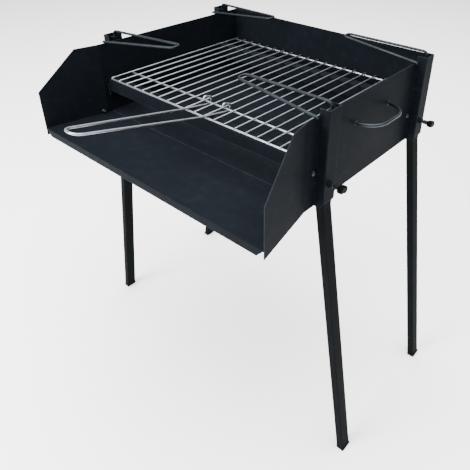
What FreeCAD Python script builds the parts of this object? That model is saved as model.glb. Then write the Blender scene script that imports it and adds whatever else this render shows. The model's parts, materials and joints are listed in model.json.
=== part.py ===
import FreeCAD, Part
import math
import os
import re
import Sketcher
from FreeCAD import Placement, Rotation, Vector

# Free-standing charcoal barbecue. Millimetres, +Z up, the ground at Z = 0, the front towards -Y.
doc = FreeCAD.newDocument("Barbecue")
sheet = doc.addObject("Spreadsheet::Sheet", "Sizes")

SIZES = {
    # sheet-metal tub
    "plate": 1.2,
    "inside_half": 262.5,
    "rear_inside": 318.8,
    "panel_top": 737,
    "panel_base": 575,
    "wing_bend": 399,
    "wing_reach": 527,
    "wing_flare": 27,
    "corner_reach": 447,
    "corner_drop": 71,
    "bend_round": 3,
    "floor_top": 591,
    "floor_reach": 390,
    "shelf_tongue": 18,
    "shelf_gap": 0.6,
    # rails that carry the grate
    "rail_thick": 2,
    "rail_depth": 20,
    "rail_base": 635.5,
    "front_rail_top": 660.5,
    "rear_rail_top": 664.5,
    "front_rail_reach": 386.2,
    "rear_rail_reach": 72.5,
    "tab_thick": 3,
    "tab_long": 24,
    "tab_tall": 24,
    "front_bolt_reach": 378,
    "rear_bolt_reach": 66,
    "front_bolt_level": 639,
    "rear_bolt_level": 629.5,
    # bolts and nuts
    "bolt_size": 6,
    "bolt_hole": 6.4,
    "bolt_head": 10,
    "bolt_head_tall": 3,
    "bolt_long": 12,
    "nut_flats": 10,
    "nut_thick": 5,
    # leg posts
    "post_wide": 17.5,
    "post_long": 32.5,
    "post_thick": 1.5,
    "post_top": 748.3,
    "post_trim": 9,
    "front_post_reach": 356.25,
    "rear_post_reach": 43.05,
    # legs
    "leg_wide": 15,
    "leg_long": 25,
    "leg_wall": 1.2,
    "leg_round": 2,
    "leg_from_post": 7.8,
    "leg_top": 637,
    "leg_bend_level": 572,
    "leg_bend_round": 30,
    "leg_spread": 95.3,
    "plug_tall": 5,
    "plug_wide": 16.8,
    "plug_long": 26.4,
    "plug_insert": 18,
    # clamp screws
    "clamp_level": 616,
    "clamp_size": 6,
    "clamp_bore": 6.1,
    "clamp_tip_gap": 0.05,
    "knob_centre": 23,
    "knob_long": 21,
    "knob_tall": 13,
    "knob_thick": 10,
    "knob_socket": 5,
    "neck_size": 8.5,
    "neck_long": 10,
    # swing arms
    "arm_rod": 5,
    "arm_level": 754,
    "arm_low_level": 740,
    "arm_reach": 176.5,
    "arm_tip_wide": 20.3,
    "arm_foot_wide": 33.3,
    "arm_foot_short": 1.1,
    "pin_back": 3.2,
    "arm_bend": 8,
    "sleeve_size": 9,
    "sleeve_bore": 5.1,
    "sleeve_top": 742,
    "sleeve_base": 705,
    "pin_base": 703,
    # grate
    "bar_rod": 3,
    "bar_pitch": 25.2,
    "bar_first": -252,
    "bar_level": 666,
    "bar_rear_gap": 4,
    "wire_rod": 4,
    "wire_over": 3,
    "front_wire_reach": 384,
    "middle_wire_reach": 332.4,
    "rear_wire_reach": 9.6,
    # lifting handle of the grate
    "lift_rod": 4,
    "lift_middle": 5.3,
    "lift_half": 25.2,
    "lift_tip_half": 15.3,
    "lift_tip_aside": 11.5,
    "lift_tip_rise": 17.4,
    "lift_straight": 66,
    "lift_long": 311.3,
    "lift_slope": 9.3,
    "lift_play": 0.08,
    "hook_back": 7,
    "hook_ahead": 12,
    "hook_top": 9.5,
    "hook_rise": 3.5,
    "hook_drop": 6,
    "hook_bend": 4,
    "lift_bend": 14,
    # carrying handles
    "carry_rod": 6,
    "carry_front": 266,
    "carry_rear": 157,
    "carry_out": 42,
    "carry_level": 686,
    "carry_bend": 38,
}
BARS = 21
KNOB_TURNS = {"front_right": -15, "front_left": 75, "rear_right": -18, "rear_left": 10}
ARM_TURNS = {"front_right": 0, "front_left": 9.8, "rear_right": 0, "rear_left": -1.1}
FUNCTIONS = ("sin", "cos", "tan", "atan", "sqrt")

for row, (alias, value) in enumerate(SIZES.items(), start=1):
    sheet.set("A%d" % row, alias)
    sheet.set("B%d" % row, str(value))
    sheet.setAlias("B%d" % row, alias)
doc.recompute()


def sized(text):
    """An expression in which each size name points at its cell of the sheet."""
    return re.sub(r"[a-z_]{3,}", lambda m: m.group(0) if m.group(0) in FUNCTIONS else "Sizes." + m.group(0), text)


def number(text):
    """The value of such an expression now."""
    value = sheet.evalExpression(sized(text))
    return float(getattr(value, "Value", value))


def new_body(label):
    body = doc.addObject("PartDesign::Body", label)
    body.Label = label
    return body


def new_sketch(body, name, plane, lift="0"):
    sketch = body.newObject("Sketcher::SketchObject", name)
    for item in body.Origin.OriginFeatures:
        if item.Role == plane:
            sketch.AttachmentSupport = [(item, "")]
    sketch.MapMode = "FlatFace"
    sketch.setExpression("AttachmentOffset.Base.z", sized(lift))
    return sketch


def bind(sketch, kind, shape, point, text):
    """Hold a point of the sketch at a distance from the origin that the sheet gives."""
    value = number(text)
    place = sketch.addConstraint(Sketcher.Constraint(kind, -1, 1, shape, point, value))
    sketch.setExpression("Constraints[%d]" % place, sized(text))


def outline(sketch, corners):
    """A closed straight-sided outline with every corner bound to the sheet."""
    spots = [Vector(number(u), number(v), 0) for u, v in corners]
    count = len(spots)
    for i in range(count):
        sketch.addGeometry(Part.LineSegment(spots[i], spots[(i + 1) % count]), False)
    for i in range(count):
        sketch.addConstraint(Sketcher.Constraint("Coincident", i, 2, (i + 1) % count, 1))
    for i, (u, v) in enumerate(corners):
        bind(sketch, "DistanceX", i, 1, u)
        bind(sketch, "DistanceY", i, 1, v)


def ring(sketch, u, v, size):
    """A circle of the given diameter."""
    circle = Part.Circle(Vector(number(u), number(v), 0), Vector(0, 0, 1), number(size) / 2)
    shape = sketch.addGeometry(circle, False)
    bind(sketch, "DistanceX", shape, 3, u)
    bind(sketch, "DistanceY", shape, 3, v)
    place = sketch.addConstraint(Sketcher.Constraint("Diameter", shape, number(size)))
    sketch.setExpression("Constraints[%d]" % place, sized(size))


def soft_box(sketch, wide, tall, radius):
    """A rectangle with rounded corners, centred on the sketch origin."""
    half_u = "(%s) / 2 - (%s)" % (wide, radius)
    half_v = "(%s) / 2 - (%s)" % (tall, radius)
    a, b, r = number(half_u), number(half_v), number(radius)
    first = sketch.GeometryCount
    sides = [((-a, -b - r), (a, -b - r)), ((a + r, -b), (a + r, b)), ((a, b + r), (-a, b + r)), ((-a - r, b), (-a - r, -b))]
    for start, end in sides:
        sketch.addGeometry(Part.LineSegment(Vector(*start, 0), Vector(*end, 0)), False)
    for turn, (u, v) in zip((-90, 0, 90, 180), ((a, -b), (a, b), (-a, b), (-a, -b))):
        circle = Part.Circle(Vector(u, v, 0), Vector(0, 0, 1), r)
        arc = Part.ArcOfCircle(circle, math.radians(turn), math.radians(turn + 90))
        sketch.addGeometry(arc, False)
    for i in range(4):
        sketch.addConstraint(Sketcher.Constraint("Tangent", first + i, 2, first + 4 + i, 1))
        sketch.addConstraint(Sketcher.Constraint("Tangent", first + 4 + i, 2, first + (i + 1) % 4, 1))
    for i, kind in enumerate(("Horizontal", "Vertical", "Horizontal", "Vertical")):
        sketch.addConstraint(Sketcher.Constraint(kind, first + i))
    for arc, sign in ((4, ("", "-")), (6, ("-", ""))):
        bind(sketch, "DistanceX", first + arc, 3, "%s(%s)" % (sign[0], half_u))
        bind(sketch, "DistanceY", first + arc, 3, "%s(%s)" % (sign[1], half_v))
    for arc in range(4, 8):
        place = sketch.addConstraint(Sketcher.Constraint("Radius", first + arc, r))
        sketch.setExpression("Constraints[%d]" % place, sized(radius))


def pad(body, sketch, length):
    feature = body.newObject("PartDesign::Pad", sketch.Name + "_pad")
    feature.Profile = sketch
    feature.setExpression("Length", sized(length))
    sketch.Visibility = False
    doc.recompute()
    return feature


def cut(body, sketch, length, forward=True):
    """A pocket cut along the sketch normal, or against it when forward is False."""
    before = body.Shape.Volume
    feature = body.newObject("PartDesign::Pocket", sketch.Name + "_cut")
    feature.Profile = sketch
    feature.Reversed = forward
    feature.setExpression("Length", sized(length))
    doc.recompute()
    if not feature.Shape.Volume < before - 0.01:
        raise RuntimeError(sketch.Name + " removes nothing")
    return feature


def soften(body, name, radius, wanted):
    """Round the edges of the body's tip that the wanted function picks."""
    tip = body.Tip
    names = ["Edge%d" % (i + 1) for i, edge in enumerate(tip.Shape.Edges) if wanted(edge)]
    if not names:
        raise RuntimeError(name + " finds no edge")
    feature = body.newObject("PartDesign::Fillet", name)
    feature.Base = (tip, names)
    feature.setExpression("Radius", sized(radius))
    doc.recompute()
    return feature


def along(edge, axis, *lines):
    """True for a straight edge along the axis that runs through one of the given places."""
    if len(edge.Vertexes) != 2 or not isinstance(edge.Curve, Part.Line):
        return False
    step = edge.Vertexes[1].Point - edge.Vertexes[0].Point
    if abs(abs(step.dot(axis)) - step.Length) > 0.001:
        return False
    if not lines:
        return True
    start = edge.Vertexes[0].Point
    for place in lines:
        gap = start - place
        if (gap - axis * gap.dot(axis)).Length < 0.05:
            return True
    return False


def stand(item, x, y, z, turn=0, axis=Vector(0, 0, 1)):
    """Put a piece in its place; the place follows the sheet."""
    item.Placement = Placement(Vector(number(x), number(y), number(z)), Rotation(axis, turn))
    for name, text in zip("xyz", (x, y, z)):
        item.setExpression("Placement.Base." + name, sized(text))


def curve(points, radii):
    """A line through the points, rounded at each inner one."""
    edges = []
    start = points[0]
    for i in range(1, len(points) - 1):
        corner = points[i]
        back = (points[i - 1] - corner).normalize()
        ahead = (points[i + 1] - corner).normalize()
        half = (math.pi - back.getAngle(ahead)) / 2
        reach = radii[i - 1] * math.tan(half)
        middle = (back + ahead).normalize()
        near = corner + middle * (radii[i - 1] / math.cos(half) - radii[i - 1])
        first = corner + back * reach
        last = corner + ahead * reach
        if (first - start).Length > 0.001:
            edges.append(Part.LineSegment(start, first).toShape())
        edges.append(Part.Arc(first, near, last).toShape())
        start = last
    edges.append(Part.LineSegment(start, points[-1]).toShape())
    return Part.Wire(edges)


def rod(points, radii, size, ease=0.5):
    """A round bar bent along the points, its cut ends slightly eased."""
    facing = points[1] - points[0]
    circle = Part.Wire(Part.Circle(points[0], facing, size / 2).toShape())
    solid = curve(points, radii).makePipeShell([circle], True, True)
    ends = (points[0], points[-1])
    rims = [edge for edge in solid.Edges
            if isinstance(edge.Curve, Part.Circle) and min((edge.Curve.Center - end).Length for end in ends) < 0.01
            and abs(edge.Curve.Radius - size / 2) < 0.01]
    return solid.makeChamfer(ease, rims) if ease else solid


def feature(label, shape):
    item = doc.addObject("Part::Feature", label)
    item.Label = label
    item.Shape = shape
    return item


def primitive(kind, name, place=("0", "0", "0"), rotation=Rotation(), **sizes):
    item = doc.addObject("Part::" + kind, name)
    for key, text in sizes.items():
        item.setExpression(key, sized(text))
    item.Placement = Placement(Vector(*(number(text) for text in place)), rotation)
    for axis, text in zip("xyz", place):
        item.setExpression("Placement.Base." + axis, sized(text))
    return item


def joined(kind, label, first, second):
    item = doc.addObject("Part::" + kind, label)
    item.Label = label
    item.Base = first
    item.Tool = second
    return item


UP = Vector(0, 0, 1)
ACROSS = Vector(1, 0, 0)
DEEP = Vector(0, 1, 0)
TO_X = Rotation(Vector(0, 1, 0), 90)
CORNERS = {
    "front_right": (1, "front"),
    "front_left": (-1, "front"),
    "rear_right": (1, "rear"),
    "rear_left": (-1, "rear"),
}
nodes = []

# ---- side panels: flat behind the bend, flared in front of it, the top front corner cut off
for name, side in (("right", ""), ("left", "-")):
    body = new_body(name + "_side_panel")
    band = new_sketch(body, name + "_band", "XY_Plane", "panel_base")
    outline(band, [
        (side + "inside_half", "rear_inside"),
        (side + "(inside_half + plate)", "rear_inside"),
        (side + "(inside_half + plate)", "rear_inside - wing_bend"),
        (side + "(inside_half + wing_flare + plate)", "rear_inside - wing_reach"),
        (side + "(inside_half + wing_flare)", "rear_inside - wing_reach"),
        (side + "inside_half", "rear_inside - wing_bend"),
    ])
    pad(body, band, "panel_top - panel_base")
    bends = [Vector(number(side + text), number("rear_inside - wing_bend"), 0)
             for text in ("inside_half", "(inside_half + plate)")]
    soften(body, name + "_inner_bend", "bend_round + plate", lambda e: along(e, UP, bends[1]))
    soften(body, name + "_outer_bend", "bend_round", lambda e: along(e, UP, bends[0]))
    corner = new_sketch(body, name + "_corner", "YZ_Plane", side + "(inside_half + wing_flare + 5 * plate)"
                        if side else "inside_half - 5 * plate")
    outline(corner, [
        ("rear_inside - corner_reach", "panel_top"),
        ("rear_inside - corner_reach", "panel_top + 5"),
        ("rear_inside - wing_reach - 5", "panel_top + 5"),
        ("rear_inside - wing_reach - 5", "panel_top - corner_drop"),
        ("rear_inside - wing_reach", "panel_top - corner_drop"),
    ])
    cut(body, corner, "wing_flare + 10 * plate")
    holes = new_sketch(body, name + "_holes", "YZ_Plane", side + "(inside_half + 4 * plate)"
                       if side else "inside_half - 4 * plate")
    for end in ("front", "rear"):
        ring(holes, "rear_inside - %s_bolt_reach" % end, end + "_bolt_level", "bolt_hole")
    cut(body, holes, "8 * plate")
    nodes.append(body)

# ---- rear panel, closing the tub between the side panels
body = new_body("rear_panel")
plan = new_sketch(body, "rear_plan", "XY_Plane", "panel_base")
outline(plan, [
    ("-(inside_half + plate)", "rear_inside"),
    ("inside_half + plate", "rear_inside"),
    ("inside_half + plate", "rear_inside + plate"),
    ("-(inside_half + plate)", "rear_inside + plate"),
])
pad(body, plan, "panel_top - panel_base")
nodes.append(body)

# ---- tub floor with an edge folded down along each side
body = new_body("tub_floor")
plan = new_sketch(body, "floor_plan", "XY_Plane", "floor_top - plate")
outline(plan, [
    ("-inside_half", "rear_inside - floor_reach"),
    ("inside_half", "rear_inside - floor_reach"),
    ("inside_half", "rear_inside"),
    ("-inside_half", "rear_inside"),
])
pad(body, plan, "plate")
for name, side in (("right", ""), ("left", "-")):
    edge = new_sketch(body, name + "_floor_edge", "XY_Plane", "panel_base")
    outline(edge, [
        (side + "inside_half", "rear_inside - floor_reach + shelf_tongue + 1"),
        (side + "inside_half", "rear_inside"),
        (side + "(inside_half - plate)", "rear_inside"),
        (side + "(inside_half - plate)", "rear_inside - floor_reach + shelf_tongue + 1"),
    ])
    pad(body, edge, "floor_top - plate - panel_base")
nodes.append(body)

# ---- front ash shelf, between the flared wings, its front edge folded down
body = new_body("front_shelf")
plan = new_sketch(body, "shelf_plan", "XY_Plane", "floor_top - 2 * plate")
tongue = "rear_inside - floor_reach + shelf_tongue"
outline(plan, [
    ("-(inside_half - shelf_gap)", tongue),
    ("-(inside_half - shelf_gap)", "rear_inside - wing_bend - bend_round / 2"),
    ("-(inside_half + wing_flare - shelf_gap)", "rear_inside - wing_reach"),
    ("inside_half + wing_flare - shelf_gap", "rear_inside - wing_reach"),
    ("inside_half - shelf_gap", "rear_inside - wing_bend - bend_round / 2"),
    ("inside_half - shelf_gap", tongue),
])
pad(body, plan, "plate")
lip = new_sketch(body, "shelf_lip", "XZ_Plane", "-(rear_inside - wing_reach + plate)")
outline(lip, [
    ("-(inside_half + wing_flare - shelf_gap - plate)", "floor_top - 2 * plate"),
    ("-(inside_half + wing_flare - 14)", "panel_base"),
    ("inside_half + wing_flare - 14", "panel_base"),
    ("inside_half + wing_flare - shelf_gap - plate", "floor_top - 2 * plate"),
])
pad(body, lip, "plate")
soften(body, "shelf_fold", "plate * 0.9", lambda e: along(
    e, ACROSS, Vector(0, number("rear_inside - wing_reach"), number("floor_top - plate"))))
nodes.append(body)

# ---- angle rails across the tub, each with a bolting tab welded to both ends
for end in ("front", "rear"):
    body = new_body(end + "_rail")
    face = "rear_inside - %s_rail_reach" % end
    top = end + "_rail_top"
    angle = new_sketch(body, end + "_angle", "YZ_Plane", "-inside_half")
    outline(angle, [
        (face, "rail_base"),
        (face + " + rail_thick", "rail_base"),
        (face + " + rail_thick", top + " - rail_thick"),
        (face + " + rail_depth", top + " - rail_thick"),
        (face + " + rail_depth", top),
        (face, top),
    ])
    pad(body, angle, "2 * inside_half")
    soften(body, end + "_rail_edge", "rail_thick * 0.8", lambda e: along(e, ACROSS, Vector(0, number(face), number(top))))
    for name, start in (("left", "-inside_half"), ("right", "inside_half - tab_thick")):
        tab = new_sketch(body, "%s_%s_tab" % (end, name), "YZ_Plane", start)
        middle = "rear_inside - %s_bolt_reach" % end
        level = end + "_bolt_level"
        outline(tab, [
            (middle + " - tab_long / 2", level + " - tab_tall / 2"),
            (middle + " + tab_long / 2", level + " - tab_tall / 2"),
            (middle + " + tab_long / 2", level + " + tab_tall / 2"),
            (middle + " - tab_long / 2", level + " + tab_tall / 2"),
        ])
        pad(body, tab, "tab_thick")
    holes = new_sketch(body, end + "_rail_holes", "YZ_Plane", "-inside_half - 5")
    ring(holes, "rear_inside - %s_bolt_reach" % end, end + "_bolt_level", "bolt_hole")
    cut(body, holes, "2 * inside_half + 10")
    nodes.append(body)

# ---- leg posts: folded channels on the outside of the panels, open towards the panel
for name, (side, end) in CORNERS.items():
    body = new_body(name + "_post")
    plan = new_sketch(body, name + "_post_plan", "XY_Plane", "panel_base")
    half = "post_long / 2"
    outline(plan, [
        ("0", "-" + half),
        ("post_wide", "-" + half),
        ("post_wide", half),
        ("0", half),
        ("0", half + " - post_thick"),
        ("post_wide - post_thick", half + " - post_thick"),
        ("post_wide - post_thick", "-(%s - post_thick)" % half),
        ("0", "-(%s - post_thick)" % half),
    ])
    pad(body, plan, "post_top - panel_base")
    wide, deep = number("post_wide"), number("post_long") / 2
    soften(body, name + "_post_folds", "post_thick * 1.4", lambda e: along(
        e, UP, Vector(wide, deep, 0), Vector(wide, -deep, 0)))
    hole = new_sketch(body, name + "_post_hole", "YZ_Plane", "post_wide - 3 * post_thick")
    ring(hole, "0", "clamp_level", "clamp_bore")
    cut(body, hole, "6 * post_thick")
    trim = new_sketch(body, name + "_post_trim", "XZ_Plane", "-(post_long)")
    outline(trim, [
        ("post_wide - post_trim * 0.6", "panel_base"),
        ("post_wide + 1", "panel_base - 1"),
        ("post_wide + 1", "panel_base + post_trim"),
        ("post_wide", "panel_base + post_trim"),
    ])
    cut(body, trim, "2 * post_long")
    turn = 0 if side > 0 else 180
    stand(body, "%d * (inside_half + plate)" % side, "rear_inside - %s_post_reach" % end, "0", turn)
    nodes.append(body)

# ---- legs: rectangular tube, upright inside the post and splayed below it, cut level above the plug
SPLAY = "atan(leg_spread / leg_bend_level)"
for name, (side, end) in CORNERS.items():
    body = new_body(name + "_leg")
    spine = new_sketch(body, name + "_leg_line", "XZ_Plane")
    lean = math.atan(number("leg_spread") / number("leg_bend_level"))
    bend, level, high = number("leg_bend_round"), number("leg_bend_level"), number("leg_top")
    low = Vector(bend * (1 - math.cos(lean)), level - bend * math.sin(lean), 0)
    spine.addGeometry(Part.LineSegment(Vector(0, high, 0), Vector(0, level, 0)), False)
    elbow = Part.Circle(Vector(bend, level, 0), Vector(0, 0, 1), bend)
    spine.addGeometry(Part.ArcOfCircle(elbow, math.pi, math.pi + lean), False)
    spine.addGeometry(Part.LineSegment(low, low + Vector(math.tan(lean) * low.y, -low.y, 0)), False)
    bind(spine, "DistanceX", 0, 1, "0")
    bind(spine, "DistanceY", 0, 1, "leg_top")
    bind(spine, "DistanceX", 0, 2, "0")
    bind(spine, "DistanceY", 0, 2, "leg_bend_level")
    spine.addConstraint(Sketcher.Constraint("Coincident", 0, 2, 1, 1))
    bind(spine, "DistanceX", 1, 3, "leg_bend_round")
    bind(spine, "DistanceY", 1, 3, "leg_bend_level")
    spine.addConstraint(Sketcher.Constraint("Coincident", 1, 2, 2, 1))
    bind(spine, "DistanceX", 1, 2, "leg_bend_round * (1 - cos(%s))" % SPLAY)
    bind(spine, "DistanceX", 2, 2, "leg_bend_round * (1 - cos(%s)) + tan(%s) * (leg_bend_level - leg_bend_round * sin(%s))"
         % (SPLAY, SPLAY, SPLAY))
    bind(spine, "DistanceY", 2, 2, "0")
    ends = new_sketch(body, name + "_leg_tube", "XY_Plane", "leg_top")
    soft_box(ends, "leg_wide", "leg_long", "leg_round")
    soft_box(ends, "leg_wide - 2 * leg_wall", "leg_long - 2 * leg_wall", "leg_round - leg_wall")
    doc.recompute()
    tube = body.newObject("PartDesign::AdditivePipe", name + "_leg_pipe")
    tube.Profile = ends
    tube.Spine = (spine, ["Edge1", "Edge2", "Edge3"])
    doc.recompute()
    level_cut = new_sketch(body, name + "_leg_level", "XY_Plane", "plug_tall")
    outline(level_cut, [
        ("leg_spread - 40", "-leg_long"),
        ("leg_spread + 40", "-leg_long"),
        ("leg_spread + 40", "leg_long"),
        ("leg_spread - 40", "leg_long"),
    ])
    cut(body, level_cut, "plug_tall + 20", forward=False)
    turn = 0 if side > 0 else 180
    stand(body, "%d * (inside_half + plate + leg_from_post)" % side, "rear_inside - %s_post_reach" % end, "0", turn)
    nodes.append(body)

# ---- foot plugs: a flat cap under the tube and a spigot leaning up into it
for name, (side, end) in CORNERS.items():
    foot = "leg_bend_round * (1 - cos(%s)) + tan(%s) * (leg_bend_level - leg_bend_round * sin(%s))" % (SPLAY, SPLAY, SPLAY)
    lean = math.degrees(math.atan(number("leg_spread") / number("leg_bend_level")))
    cap = primitive("Box", name + "_cap", ("-plug_wide / 2", "-plug_long / 2", "0"),
                    Length="plug_wide", Width="plug_long", Height="plug_tall")
    eased = doc.addObject("Part::Fillet", name + "_cap_eased")
    eased.Base = cap
    doc.recompute()
    rims = [i + 1 for i, e in enumerate(cap.Shape.Edges)
            if along(e, UP) or e.BoundBox.ZMax < 0.001 or e.BoundBox.ZMin > number("plug_tall") - 0.001]
    eased.Edges = [(i, 1.2, 1.2) for i in rims]
    core = primitive("Box", name + "_core", ("-(leg_wide - 2 * leg_wall) / 2 + 0.1", "-(leg_long - 2 * leg_wall) / 2 + 0.1",
                     "plug_tall / 2"), Length="leg_wide - 2 * leg_wall - 0.2", Width="leg_long - 2 * leg_wall - 0.2",
                     Height="plug_insert")
    core.Placement = Placement(Vector(), Rotation(DEEP, -lean)).multiply(core.Placement)
    core.setExpression("Placement.Base.x", None)
    core.setExpression("Placement.Base.y", None)
    core.setExpression("Placement.Base.z", None)
    plug = joined("Fuse", name + "_foot_plug", eased, core)
    turn = 0 if side > 0 else 180
    stand(plug, "%d * (inside_half + plate + leg_from_post + %s)" % (side, foot), "rear_inside - %s_post_reach" % end, "0", turn)
    nodes.append(plug)

# ---- clamp screws, their knobs and the nuts welded on the posts
nuts = []
for name, (side, end) in CORNERS.items():
    outer = "inside_half + plate + post_wide"
    tip = "inside_half + plate + leg_from_post + leg_wide / 2 + clamp_tip_gap"
    socket_end = "knob_centre - knob_thick / 2 + knob_socket"
    shank = primitive("Cylinder", name + "_shank", ("%s - (%s)" % (tip, outer), "0", "0"), TO_X,
                      Radius="clamp_size / 2", Height="%s - ((%s) - (%s))" % (socket_end, tip, outer))
    neck = primitive("Cylinder", name + "_neck", ("knob_centre - knob_thick / 2 - neck_long", "0", "0"), TO_X,
                     Radius="neck_size / 2", Height="neck_long")
    screw = joined("Fuse", name + "_clamp_screw", shank, neck)
    turn = 0 if side > 0 else 180
    place = ("%d * (%s)" % (side, outer), "rear_inside - %s_post_reach" % end, "clamp_level")
    stand(screw, *place, turn)
    nodes.append(screw)

    knob = new_body(name + "_knob")
    shape = new_sketch(knob, name + "_knob_face", "YZ_Plane", "knob_centre - knob_thick / 2")
    soft_box(shape, "knob_long", "knob_tall", "knob_tall / 2 - 0.4")
    pad(knob, shape, "knob_thick")
    low = number("knob_centre - knob_thick / 2")
    high = low + number("knob_thick")
    soften(knob, name + "_knob_rims", "knob_thick * 0.3", lambda e: e.BoundBox.XMax < low + 0.01
           or e.BoundBox.XMin > high - 0.01)
    socket = new_sketch(knob, name + "_knob_socket", "YZ_Plane", "knob_centre - knob_thick / 2 - 0.5")
    ring(socket, "0", "0", "clamp_size + 0.2")
    cut(knob, socket, "knob_socket + 0.5")
    spin = Rotation(UP, turn).multiply(Rotation(ACROSS, KNOB_TURNS[name]))
    stand(knob, *place)
    knob.Placement = Placement(knob.Placement.Base, spin)
    nodes.append(knob)

    hexagon = primitive("Prism", name + "_nut_blank", (place[0], place[1], place[2]), Rotation(UP, turn).multiply(TO_X),
                        Circumradius="nut_flats / sqrt(3)", Height="nut_thick")
    bore = primitive("Cylinder", name + "_nut_bore", ("%d * (%s - 1)" % (side, outer), place[1], place[2]),
                     Rotation(UP, turn).multiply(TO_X), Radius="clamp_bore / 2", Height="nut_thick + 2")
    nuts.append(joined("Cut", name + "_weld_nut", hexagon, bore))
group = doc.addObject("Part::Compound", "clamp_nuts")
group.Links = nuts
nodes.append(group)

# ---- dome-head bolts through the panels and the rail tabs, and the nuts inside
bolts = []
nuts = []
for name, (side, end) in CORNERS.items():
    spin = Rotation(UP, 0 if side > 0 else 180).multiply(TO_X)
    y = "rear_inside - %s_bolt_reach" % end
    level = end + "_bolt_level"
    face = "%d * (inside_half + plate)" % side
    dome_round = "(bolt_head * bolt_head / 4 + bolt_head_tall * bolt_head_tall) / (2 * bolt_head_tall)"
    ball = primitive("Sphere", name + "_dome", ("%d * (inside_half + plate + bolt_head_tall - %s)" % (side, dome_round),
                     y, level), spin, Radius=dome_round)
    slab = primitive("Cylinder", name + "_dome_slab", (face, y, level), spin,
                     Radius="bolt_head", Height="bolt_head_tall + 1")
    dome = joined("Common", name + "_head", ball, slab)
    shank = primitive("Cylinder", name + "_bolt_shank", ("%d * (inside_half + plate + 1 - bolt_long)" % side, y, level),
                      spin, Radius="bolt_size / 2", Height="bolt_long")
    bolts.append(joined("Fuse", name + "_bolt", dome, shank))
    hexagon = primitive("Prism", name + "_bolt_nut_blank", ("%d * (inside_half - tab_thick - nut_thick)" % side, y,
                        level), spin, Circumradius="nut_flats / sqrt(3)", Height="nut_thick")
    bore = primitive("Cylinder", name + "_bolt_nut_bore", ("%d * (inside_half - tab_thick - nut_thick - 1)" % side, y,
                     level), spin, Radius="bolt_size / 2 + 0.05", Height="nut_thick + 2")
    nuts.append(joined("Cut", name + "_bolt_nut", hexagon, bore))
for label, links in (("panel_bolts", bolts), ("panel_nuts", nuts)):
    group = doc.addObject("Part::Compound", label)
    group.Links = links
    nodes.append(group)

# ---- swing arms: one rod each, a pin down into the post, out to a rounded tip and back to the panel edge
# ---- in each post a bored block, welded to the outer wall, takes the pin
sleeves = []
for name, (side, end) in CORNERS.items():
    high, low = number("arm_level"), number("arm_low_level")
    reach = number("arm_reach - arm_rod / 2")
    tip_wide, foot_wide = number("arm_tip_wide"), number("arm_foot_wide")
    tip_level = high - (high - low) * 0.06
    points = [
        Vector(0, 0, number("pin_base")),
        Vector(0, 0, high),
        Vector(-side * reach, 0, high),
        Vector(-side * reach, -tip_wide, tip_level),
        Vector(-side * number("arm_foot_short"), -foot_wide, low),
    ]
    bend = number("arm_bend")
    arm = feature(name + "_arm", rod(points, [bend, bend, bend], number("arm_rod"), 0.8))
    place = ("%d * (inside_half + plate + leg_from_post)" % side,
             "rear_inside - %s_post_reach + pin_back" % end, "0")
    stand(arm, *place, ARM_TURNS[name])
    nodes.append(arm)
    wall = "post_wide - post_thick"
    start = "inside_half + plate + leg_from_post - sleeve_size / 2" if side > 0 else "-(inside_half + plate + %s)" % wall
    block = primitive("Box", name + "_sleeve_blank", (start, place[1] + " - sleeve_size / 2", "sleeve_base"),
                      Length=wall + " - leg_from_post + sleeve_size / 2", Width="sleeve_size",
                      Height="sleeve_top - sleeve_base")
    bore = primitive("Cylinder", name + "_sleeve_bore", (place[0], place[1], "sleeve_base - 1"),
                     Radius="sleeve_bore / 2", Height="sleeve_top - sleeve_base + 2")
    sleeves.append(joined("Cut", name + "_sleeve", block, bore))
group = doc.addObject("Part::Compound", "arm_sleeves")
group.Links = sleeves
nodes.append(group)

# ---- grate: bars lying on three cross wires
size = number("bar_rod")
level = number("bar_level")
front = number("rear_inside - front_wire_reach - wire_rod / 2")
rear = number("rear_inside - bar_rear_gap")
bars = []
for i in range(BARS):
    x = number("bar_first") + i * number("bar_pitch")
    bars.append(rod([Vector(x, front, level), Vector(x, rear, level)], [], size, 0.3))
nodes.append(feature("grate_bars", Part.makeCompound(bars)))
for end in ("front", "middle", "rear"):
    wire = primitive("Cylinder", "grate_%s_wire" % end, (
        "bar_first - wire_over", "rear_inside - %s_wire_reach" % end, "bar_level - bar_rod / 2 - wire_rod / 2"), TO_X,
        Radius="wire_rod / 2", Height="%d * bar_pitch + 2 * wire_over" % (BARS - 1))
    wire.Label = "grate_%s_wire" % end
    nodes.append(wire)

# ---- lifting handle: a hairpin rod hooked round the middle wire, resting on the front wire
under = -number("wire_rod / 2 + lift_rod / 2 + lift_play")
half, tip_half = number("lift_half"), number("lift_tip_half")
back, ahead = number("hook_back"), number("hook_ahead")
top, rise, drop = number("hook_top"), number("hook_rise"), number("hook_drop")
straight, long = number("lift_straight"), number("lift_long - lift_rod / 2")
right = [
    Vector(half, -ahead, top + rise - drop),
    Vector(half, -ahead, top + rise),
    Vector(half, back, top),
    Vector(half, back, under),
    Vector(half, -straight, under),
    Vector(tip_half, -long, under + number("lift_tip_rise")),
]
left = [Vector(-p.x, p.y, p.z) for p in reversed(right)]
for point in (right[-1], left[0]):
    point.x += number("lift_tip_aside")
hook = number("hook_bend")
tip = number("lift_bend")
radii = [hook - 0.5, hook, hook, 60, tip, tip, 60, hook, hook, hook - 0.5]
handle = feature("grate_handle", rod(right + left, radii, number("lift_rod"), 0.8))
stand(handle, "lift_middle", "rear_inside - middle_wire_reach", "bar_level - bar_rod / 2 - wire_rod / 2",
      -SIZES["lift_slope"], ACROSS)
nodes.append(handle)

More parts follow.
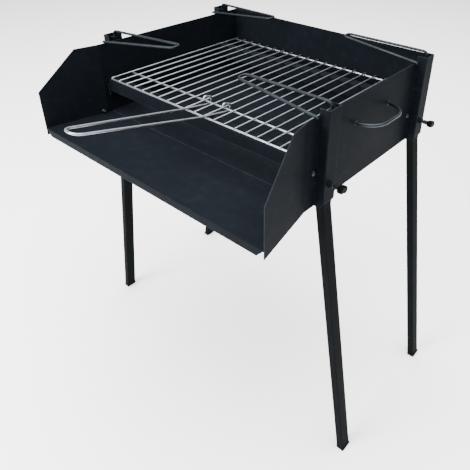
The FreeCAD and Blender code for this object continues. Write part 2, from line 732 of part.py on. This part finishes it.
# ---- carrying handles: a round bar bent into a flat loop, both ends welded to the panel
for name, side in (("right", 1), ("left", -1)):
    near, out = 0, side * number("carry_out - carry_rod / 2")
    front_y, rear_y = -number("carry_front"), -number("carry_rear")
    points = [Vector(near, front_y, 0), Vector(out, front_y, 0), Vector(out, rear_y, 0), Vector(near, rear_y, 0)]
    bend = number("carry_bend")
    handle = feature(name + "_carry_handle", rod(points, [bend, bend], number("carry_rod"), 0))
    stand(handle, "%d * (inside_half + plate)" % side, "rear_inside", "carry_level")
    nodes.append(handle)

# ---- check and export
doc.recompute()
for item in doc.Objects:
    if "Invalid" in item.State or "Error" in item.State:
        raise RuntimeError("%s is %s" % (item.Label, item.State))
for node in nodes:
    if node.Shape.isNull() or not node.Shape.isValid() or node.Shape.Volume <= 0:
        raise RuntimeError(node.Label + " has a bad shape")
os.makedirs("parts", exist_ok=True)
whole = FreeCAD.BoundBox()
for node in nodes:
    node.Shape.exportStep("parts/%s.step" % node.Label)
    whole.add(node.Shape.BoundBox)
print(len(nodes), "nodes", whole)
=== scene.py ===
import json
import math

import bmesh
import bpy
from mathutils import Matrix, Vector


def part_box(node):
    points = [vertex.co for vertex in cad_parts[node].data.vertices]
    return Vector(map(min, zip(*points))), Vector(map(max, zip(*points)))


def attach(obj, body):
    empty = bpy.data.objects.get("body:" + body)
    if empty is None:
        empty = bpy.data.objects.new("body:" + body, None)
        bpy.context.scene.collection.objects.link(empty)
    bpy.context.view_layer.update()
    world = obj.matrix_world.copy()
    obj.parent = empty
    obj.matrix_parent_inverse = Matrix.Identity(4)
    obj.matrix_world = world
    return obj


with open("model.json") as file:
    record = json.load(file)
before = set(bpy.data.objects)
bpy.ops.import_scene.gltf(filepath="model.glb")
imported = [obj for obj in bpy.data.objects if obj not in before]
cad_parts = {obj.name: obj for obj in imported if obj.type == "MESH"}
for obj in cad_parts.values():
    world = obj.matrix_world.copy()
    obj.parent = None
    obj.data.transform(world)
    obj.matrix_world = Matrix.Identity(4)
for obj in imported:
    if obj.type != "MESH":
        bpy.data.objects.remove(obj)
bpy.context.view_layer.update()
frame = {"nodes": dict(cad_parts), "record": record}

NODES = frame["nodes"]
CORNERS = ("front_right", "front_left", "rear_right", "rear_left")

# sizes in metres; those of the CAD repeat what part.py says
BARS = 21
FIRST_BAR = -0.252
BAR_PITCH = 0.0252
BAR_WELD = (0.0021, 0.0022, 0.0011)
WELD_STEP = 0.0004
WELD_LUMP = 0.0016
POST_WELD_LEVELS = (0.586, 0.612, 0.655, 0.690, 0.724)
POST_WELD_LONG = 0.011
POST_WELD_RADIUS = 0.0012
CARRY_ROD_RADIUS = 0.003
CARRY_WELD_FACE = 0.2641
CARRY_WELD_RING = 0.0034
CARRY_WELD_RADIUS = 0.0013
RING_STEPS = 80
SHELF_SCREW = (0.2641, -0.0909, 0.5962)
NUT_PROFILE = ((0.0, 0.0050), (0.0004, 0.0054), (0.0036, 0.0054), (0.0042, 0.0048))
POST_OUTER_WALL = 0.2812
THREAD_GAP = 0.0046
THREAD_PITCH = 0.001
THREAD_RADIUS = 0.0029
THREAD_WIRE = 0.0004
THREAD_TURNS = 4.2
TURN_STEPS = 20


# ---------------------------------------------------------------- material tools
class Graph:
    """A material's node tree with short ways to add and join nodes."""

    def __init__(self, name):
        self.material = bpy.data.materials.new(name)
        self.material.use_nodes = True
        self.tree = self.material.node_tree
        self.tree.nodes.clear()
        self.out = self.tree.nodes.new("ShaderNodeOutputMaterial")
        self.shader = self.tree.nodes.new("ShaderNodeBsdfPrincipled")
        self.join(self.shader, "BSDF", self.out, "Surface")
        self.place = self.tree.nodes.new("ShaderNodeTexCoord")

    def join(self, source, output, target, socket):
        self.tree.links.new(source.outputs[output], target.inputs[socket])

    def put(self, value, target, socket):
        """A number or colour is set on the socket; a node output is linked to it."""
        if isinstance(value, bpy.types.NodeSocket):
            self.tree.links.new(value, target.inputs[socket])
        else:
            target.inputs[socket].default_value = value

    def scaled(self, stretch):
        """Object coordinates stretched along each axis."""
        node = self.tree.nodes.new("ShaderNodeMapping")
        node.inputs["Scale"].default_value = stretch
        self.join(self.place, "Object", node, "Vector")
        return node.outputs["Vector"]

    def noise(self, scale, detail=4, rough=0.5, stretch=(1, 1, 1)):
        node = self.tree.nodes.new("ShaderNodeTexNoise")
        node.inputs["Scale"].default_value = scale
        node.inputs["Detail"].default_value = detail
        node.inputs["Roughness"].default_value = rough
        self.put(self.scaled(stretch), node, "Vector")
        return node.outputs["Fac"]

    def ramp(self, value, low, high, start=0.0, end=1.0):
        node = self.tree.nodes.new("ShaderNodeMapRange")
        self.put(value, node, "Value")
        for socket, number in (("From Min", low), ("From Max", high), ("To Min", start), ("To Max", end)):
            node.inputs[socket].default_value = number
        return node.outputs["Result"]

    def math(self, kind, first, second):
        node = self.tree.nodes.new("ShaderNodeMath")
        node.operation = kind
        self.put(first, node, 0)
        self.put(second, node, 1)
        return node.outputs["Value"]

    def mix(self, amount, first, second):
        node = self.tree.nodes.new("ShaderNodeMix")
        node.data_type = "RGBA"
        self.put(amount, node, 0)
        for value, socket in ((first, 6), (second, 7)):
            self.put(value if isinstance(value, bpy.types.NodeSocket) else (*value, 1.0), node, socket)
        return node.outputs[2]

    def edges(self, radius):
        """1 on sharp edges, 0 on open faces."""
        bevel = self.tree.nodes.new("ShaderNodeBevel")
        bevel.samples = 6
        bevel.inputs["Radius"].default_value = radius
        geometry = self.tree.nodes.new("ShaderNodeNewGeometry")
        dot = self.tree.nodes.new("ShaderNodeVectorMath")
        dot.operation = "DOT_PRODUCT"
        self.join(bevel, "Normal", dot, 0)
        self.join(geometry, "Normal", dot, 1)
        return self.ramp(dot.outputs["Value"], 0.995, 0.85)

    def bump(self, height, distance, strength, after=None):
        node = self.tree.nodes.new("ShaderNodeBump")
        node.inputs["Strength"].default_value = strength
        node.inputs["Distance"].default_value = distance
        self.put(height, node, "Height")
        if after is not None:
            self.put(after, node, "Normal")
        return node.outputs["Normal"]


def enamel(name, colour, wear_and_highlight_colour, rough, gloss, tint, edge):
    """Baked paint on sheet steel: cloudy tone, fine orange peel, faint scuffs, and sharp edges lightened in the
    colour, partly rubbed paint and partly a painted highlight.
    """
    g = Graph(name)
    clouds = g.noise(7, 6, 0.6)
    dust = g.noise(60, 5, 0.65)
    scuffs = g.ramp(g.noise(40, 3, 0.7, (0.12, 1.0, 1.6)), 0.62, 0.72)
    dark = tuple(c * 0.88 for c in colour)
    light = tuple(min(1, c * 1.12) for c in colour)
    tone = g.mix(g.ramp(clouds, 0.3, 0.7), dark, light)
    tone = g.mix(g.math("MULTIPLY", g.ramp(dust, 0.5, 0.8), 0.07), tone, wear_and_highlight_colour)
    tone = g.mix(g.math("MULTIPLY", scuffs, 0.08), tone, wear_and_highlight_colour)
    # painted highlight: sharp edges are lightened in the base colour, standing in for light catching the sheet
    # edges as well as for rubbed paint
    edge_rub_and_highlight_mask = g.math("MULTIPLY", g.edges(0.0012), g.ramp(dust, 0.25, 0.6, edge * 0.5, edge))
    g.put(g.mix(edge_rub_and_highlight_mask, tone, wear_and_highlight_colour), g.shader, "Base Color")
    g.put(g.ramp(clouds, 0.25, 0.75, rough - 0.06, rough + 0.08), g.shader, "Roughness")
    g.shader.inputs["Metallic"].default_value = 0.0
    g.shader.inputs["Specular IOR Level"].default_value = gloss
    g.shader.inputs["Specular Tint"].default_value = (*tint, 1.0)
    fine = g.bump(g.noise(1500, 2, 0.5), 0.00003, 0.35)
    g.put(g.bump(g.noise(28, 3, 0.5), 0.0002, 0.25, fine), g.shader, "Normal")
    return g.material


def steel(name, colour, dull, rough):
    """Drawn steel rod: lengthwise grain, duller patches, fine pitting."""
    g = Graph(name)
    clouds = g.noise(45, 5, 0.6)
    pits = g.noise(700, 3, 0.6)
    tone = g.mix(g.ramp(clouds, 0.35, 0.7), colour, dull)
    spots = g.math("MULTIPLY", g.ramp(pits, 0.62, 0.75), 0.5)
    g.put(g.mix(spots, tone, tuple(c * 0.45 for c in dull)), g.shader, "Base Color")
    g.put(g.ramp(clouds, 0.3, 0.7, rough - 0.05, rough + 0.1), g.shader, "Roughness")
    g.shader.inputs["Metallic"].default_value = 0.9
    g.put(g.bump(pits, 0.00005, 0.4), g.shader, "Normal")
    return g.material


def plastic(name, colour, rough):
    """Moulded black plastic with a fine spark-eroded grain."""
    g = Graph(name)
    clouds = g.noise(120, 4, 0.6)
    g.put(g.mix(g.ramp(clouds, 0.3, 0.7), colour, tuple(c * 1.5 for c in colour)), g.shader, "Base Color")
    g.put(g.ramp(clouds, 0.3, 0.7, rough - 0.05, rough + 0.08), g.shader, "Roughness")
    g.shader.inputs["Specular IOR Level"].default_value = 0.02
    g.put(g.bump(g.noise(2200, 2, 0.5), 0.00004, 0.5), g.shader, "Normal")
    return g.material


BLUE = (0.62, 0.80, 1.0)
LOOKS = {
    # the second colour of each enamel goes into dust, scuffs and the painted edge highlight
    "black_enamel": enamel("tub_enamel", (0.0037, 0.0047, 0.0062), (0.030, 0.037, 0.046), 0.46, 0.010, BLUE, 0.6),
    "leg_paint": enamel("leg_enamel", (0.0036, 0.0040, 0.0045), (0.03, 0.033, 0.037), 0.48, 0.006, BLUE, 0.5),
    "handle_paint": steel("carry_handle_steel", (0.024, 0.029, 0.035), (0.012, 0.015, 0.018), 0.42),
    "chrome_wire": steel("grate_wire", (0.32, 0.34, 0.37), (0.17, 0.185, 0.205), 0.30),
    "rod_zinc": steel("pan_arm_rod", (0.013, 0.017, 0.021), (0.008, 0.010, 0.012), 0.42),
    "zinc_plate": steel("dark_screws", (0.030, 0.034, 0.038), (0.015, 0.017, 0.020), 0.36),
    "black_plastic": plastic("knob_plastic", (0.0012, 0.0013, 0.0015), 0.45),
}

for part in frame["record"]["subparts"]:
    for slot in NODES[part["node"]].material_slots:
        slot.link = "OBJECT"
        slot.material = LOOKS[part["material_slot"]]


# ---------------------------------------------------------------- welds, screws and threads
def skin(shape, rows):
    """Faces between the rings of vertices, and a cap on each end."""
    sides = len(rows[0])
    for low, high in zip(rows, rows[1:]):
        for k in range(sides):
            shape.faces.new((low[k], low[(k + 1) % sides], high[(k + 1) % sides], high[k]))
    shape.faces.new(list(reversed(rows[0])))
    shape.faces.new(rows[-1])


def ringed(points, radii, sides=8):
    """A closed-ended tube through the points, as thick at each one as its radius says."""
    shape = bmesh.new()
    turns = [2 * math.pi * k / sides for k in range(sides)]
    rows = []
    for i, (point, radius) in enumerate(zip(points, radii)):
        along = (points[min(i + 1, len(points) - 1)] - points[max(i - 1, 0)]).normalized()
        guide = Vector((0, 0, 1)) if abs(along.z) < 0.7 else Vector((1, 0, 0))
        side = along.cross(guide).normalized()
        over = along.cross(side)
        rows.append([shape.verts.new(point + (side * math.cos(t) + over * math.sin(t)) * radius) for t in turns])
    skin(shape, rows)
    return shape


def weld_shape(points, radius):
    """A bead of weld: overlapping puddles, thinner at both ends."""
    radii = []
    run = 0.0
    for i, point in enumerate(points):
        run += (point - points[i - 1]).length if i else 0.0
        end = min(i, len(points) - 1 - i)
        puddle = 0.85 + 0.22 * abs(math.sin(run / WELD_LUMP * math.pi / 2))
        radii.append(radius * puddle * min(1.0, 0.45 + 0.3 * end))
    return ringed(points, radii)


def piece(name, shapes, body, slot):
    """One smooth object made of several shapes, moving with a body of the barbecue."""
    mesh = bpy.data.meshes.new(name)
    whole = bmesh.new()
    for shape in shapes:
        part = bpy.data.meshes.new("part")
        shape.to_mesh(part)
        shape.free()
        whole.from_mesh(part)
        bpy.data.meshes.remove(part)
    bmesh.ops.recalc_face_normals(whole, faces=whole.faces)
    for face in whole.faces:
        face.smooth = True
    whole.to_mesh(mesh)
    whole.free()
    item = bpy.data.objects.new(name, mesh)
    bpy.context.collection.objects.link(item)
    mesh.materials.append(LOOKS[slot])
    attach(item, body)


def middle(node):
    """The centre of a CAD node's box."""
    low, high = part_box(node)
    return (Vector(low) + Vector(high)) / 2


def line(start, end):
    """Evenly spaced points from one end to the other."""
    count = max(2, int((end - start).length / WELD_STEP))
    return [start.lerp(end, i / count) for i in range(count + 1)]


def grate_welds():
    """A small flattened puddle wherever a bar lies on a cross wire."""
    shapes = []
    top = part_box("grate_middle_wire")[1][2]
    for wire in ("grate_front_wire", "grate_middle_wire", "grate_rear_wire"):
        for i in range(BARS):
            shape = bmesh.new()
            bmesh.ops.create_icosphere(shape, subdivisions=2, radius=1.0)
            swell = 1.0 + 0.12 * math.sin(i * 2.3)
            across = FIRST_BAR + BAR_PITCH * i + 0.0003 * math.sin(i * 5.1)
            spot = Vector((across, middle(wire).y, top - 0.0002))
            for vert in shape.verts:
                vert.co = Vector([value * size for value, size in zip(vert.co, BAR_WELD)]) * swell + spot
            shapes.append(shape)
    piece("grate_welds", shapes, "grate", "chrome_wire")


def post_welds():
    """Short beads that hold each post's two flanges to the side panel."""
    shapes = []
    for corner in CORNERS:
        low, high = (Vector(end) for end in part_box(corner + "_post"))
        face = low.x if low.x > 0 else high.x
        out = 0.0004 if face > 0 else -0.0004
        for y, away in ((low.y, -0.0003), (high.y, 0.0003)):
            for z in POST_WELD_LEVELS:
                start = Vector((face + out, y + away, z))
                shapes.append(weld_shape(line(start, start + Vector((0, 0, POST_WELD_LONG))), POST_WELD_RADIUS))
    piece("post_welds", shapes, "tub", "black_enamel")


def handle_welds():
    """A bead round each end of the carrying handles."""
    shapes = []
    for name, side in (("right_carry_handle", 1), ("left_carry_handle", -1)):
        low, high = (Vector(end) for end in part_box(name))
        level = (low.z + high.z) / 2
        for y in (low.y + CARRY_ROD_RADIUS, high.y - CARRY_ROD_RADIUS):
            ring = []
            for k in range(RING_STEPS + 1):
                turn = 2 * math.pi * k / RING_STEPS
                ring.append(Vector((side * CARRY_WELD_FACE, y + CARRY_WELD_RING * math.cos(turn),
                                    level + CARRY_WELD_RING * math.sin(turn))))
            shapes.append(weld_shape(ring, CARRY_WELD_RADIUS))
    piece("handle_welds", shapes, "tub", "handle_paint")


def shelf_screws():
    """On each wing, just over the shelf, the nut and thread end of the screw that holds the shelf.

    The photo shows the left one; the right one is assumed to match.
    """
    shapes = []
    for side in (1, -1):
        spot = Vector((side * SHELF_SCREW[0], SHELF_SCREW[1], SHELF_SCREW[2]))
        inward = Vector((-side, 0, 0))
        nut = bmesh.new()
        rows = []
        for depth, size in NUT_PROFILE:
            row = []
            for k in range(6):
                turn = math.pi * k / 3 + 0.3
                corner = Vector((0, math.cos(turn), math.sin(turn))) * size
                row.append(nut.verts.new(spot + inward * depth + corner))
            rows.append(row)
        skin(nut, rows)
        shapes.append(nut)
        thread_end = [spot, spot + inward * 0.0078, spot + inward * 0.0085]
        shapes.append(ringed(thread_end, [0.0025, 0.0025, 0.0019], 16))
    piece("shelf_screws", shapes, "tub", "zinc_plate")


def clamp_threads():
    """The bare thread of each clamp screw between the welded nut and the neck of its knob."""
    for corner in CORNERS:
        spot = middle(corner + "_clamp_screw")
        side = 1 if spot.x > 0 else -1
        start = POST_OUTER_WALL + THREAD_GAP
        helix = []
        for k in range(int(THREAD_TURNS * TURN_STEPS) + 1):
            turn = 2 * math.pi * k / TURN_STEPS
            helix.append(Vector((side * (start + THREAD_PITCH * k / TURN_STEPS),
                                 spot.y + THREAD_RADIUS * math.cos(turn),
                                 spot.z + THREAD_RADIUS * math.sin(turn))))
        shape = ringed(helix, [THREAD_WIRE] * len(helix), 6)
        piece(corner + "_thread", [shape], corner + "_clamp", "zinc_plate")


grate_welds()
post_welds()
handle_welds()
shelf_screws()
clamp_threads()


# ---------------------------------------------------------------- floor, light and camera
def floor_and_light():
    """A pale floor, a white sky and three soft boxes."""
    mesh = bpy.data.meshes.new("studio_floor")
    shape = bmesh.new()
    bmesh.ops.create_grid(shape, x_segments=8, y_segments=8, size=12)
    shape.to_mesh(mesh)
    shape.free()
    floor = bpy.data.objects.new("studio_floor", mesh)
    bpy.context.collection.objects.link(floor)
    g = Graph("floor_paint")
    g.put(g.mix(g.noise(2, 3), (0.93, 0.93, 0.93), (0.95, 0.95, 0.95)), g.shader, "Base Color")
    g.shader.inputs["Roughness"].default_value = 0.9
    g.shader.inputs["Specular IOR Level"].default_value = 0.1
    mesh.materials.append(g.material)

    world = bpy.data.worlds.new("studio_world")
    bpy.context.scene.world = world
    world.use_nodes = True
    sky = world.node_tree.nodes["Background"]
    sky.inputs["Color"].default_value = (1.0, 1.0, 1.0, 1.0)
    sky.inputs["Strength"].default_value = 0.9

    for name, place, aim, size, power in (
        ("top_softbox", (0.0, 0.0, 4.0), (0.0, 0.0, 0.0), 5.0, 780),
        ("right_softbox", (2.6, 1.0, 1.5), (0.2, 0.0, 0.5), 1.5, 10),
        ("front_softbox", (-0.6, -2.6, 1.8), (0.0, 0.0, 0.4), 1.6, 270),
    ):
        data = bpy.data.lights.new(name, "AREA")
        data.size = size
        data.energy = power
        light = bpy.data.objects.new(name, data)
        bpy.context.collection.objects.link(light)
        light.location = place
        light.rotation_euler = (Vector(aim) - Vector(place)).to_track_quat("-Z", "Y").to_euler()


def photo_camera():
    """The photograph's viewpoint, solved with less shift than fits it best, so that other views stay in frame."""
    azimuth, elevation, roll = (math.radians(v) for v in (39.95, 30.57, 0.80))
    level = math.cos(elevation)
    ahead = Vector((-math.sin(azimuth) * level, math.cos(azimuth) * level, -math.sin(elevation)))
    right = Vector((math.cos(azimuth), math.sin(azimuth), 0))
    above = right.cross(ahead)
    turned = right * math.cos(roll) + above * math.sin(roll)
    above = above * math.cos(roll) - right * math.sin(roll)
    data = bpy.data.cameras.new("camera")
    data.sensor_width = 36
    data.lens = 39.59
    data.shift_x = -0.076
    data.shift_y = -0.15
    camera = bpy.data.objects.new("camera", data)
    bpy.context.collection.objects.link(camera)
    spot = Vector((0.6542, -0.6309, 1.0613))
    camera.matrix_world = Matrix.Translation(spot) @ Matrix((turned, above, -ahead)).transposed().to_4x4()
    bpy.context.scene.camera = camera


floor_and_light()
photo_camera()
